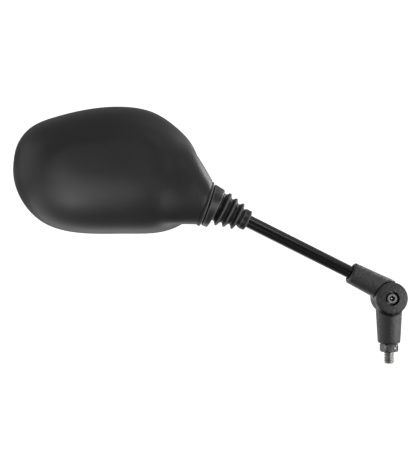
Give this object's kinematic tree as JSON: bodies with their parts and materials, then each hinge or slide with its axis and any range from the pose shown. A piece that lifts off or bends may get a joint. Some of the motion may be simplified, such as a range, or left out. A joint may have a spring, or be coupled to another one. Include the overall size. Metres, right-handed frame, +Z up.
{
  "type": "motorcycle mirror",
  "caption": "Egg-shaped black rear-view mirror on a slanted round stem, with a ball-jointed head in a rubber bellows boot, and a folding elbow on a threaded stud.",
  "frame": {"origin": "on the mounting stud's axis, at the lower face of the lock nut", "axes": "+Z up the stud, +X from the head towards the elbow, +Y the way the glass faces"},
  "size_m": [0.3075, 0.0445, 0.2021],
  "materials": {
    "stud_steel": "bright zinc, threaded",
    "nut_steel": "dark zinc, satin",
    "knuckle_plastic": "satin black, fine grain",
    "nylon": "natural, satin",
    "zinc_steel": "bright zinc",
    "screw_steel": "bright zinc",
    "stem_paint": "gloss black",
    "housing_plastic": "satin black, fine grain",
    "mirror": "silvered convex glass",
    "foam": "soft foam",
    "boot_rubber": "satin black"
  },
  "bodies": {
    "base": {"lower_knuckle": "knuckle_plastic", "mount_stud": "stud_steel", "friction_washer": "nylon"},
    "nut": {"lock_nut": "nut_steel"},
    "arm": {"upper_knuckle": "knuckle_plastic", "stem": "stem_paint", "pivot_screw": "screw_steel", "pivot_nut": "zinc_steel", "disc_spring_washer": "zinc_steel"},
    "roll_cup": {"rear_ball_cup": "nylon"},
    "pan_cup": {"front_ball_cup": "nylon"},
    "head": {"housing": "housing_plastic", "mirror_glass": "mirror", "glass_backing_pad": "foam", "ball_clamp_plate": "zinc_steel", "clamp_screws": "zinc_steel", "neck_boot": "boot_rubber"}
  },
  "joints": [
    {"name": "elbow_fold", "type": "hinge", "parent": "base", "child": "arm", "pos_m": [0, 0, 0.0425], "axis": [0, 1, 0], "range_deg": [-40, 95]},
    {"name": "head_roll", "type": "hinge", "parent": "arm", "child": "roll_cup", "pos_m": [-0.15573, 0, 0.12461], "axis": [-0.8957, 0, 0.4446], "range_deg": [-40, 40], "deforming": ["neck_boot"]},
    {"name": "head_pan", "type": "hinge", "parent": "roll_cup", "child": "pan_cup", "pos_m": [-0.15573, 0, 0.12461], "axis": [0.4446, 0, 0.8957], "range_deg": [-12, 12], "deforming": ["neck_boot"]},
    {"name": "head_cant", "type": "hinge", "parent": "pan_cup", "child": "head", "pos_m": [-0.15573, 0, 0.12461], "axis": [0, 1, 0], "range_deg": [-12, 12], "deforming": ["neck_boot"]},
    {"name": "lock_nut_run", "type": "slide", "parent": "base", "child": "nut", "axis": [0, 0, -1], "range_m": [0, 0.008]}
  ]
}
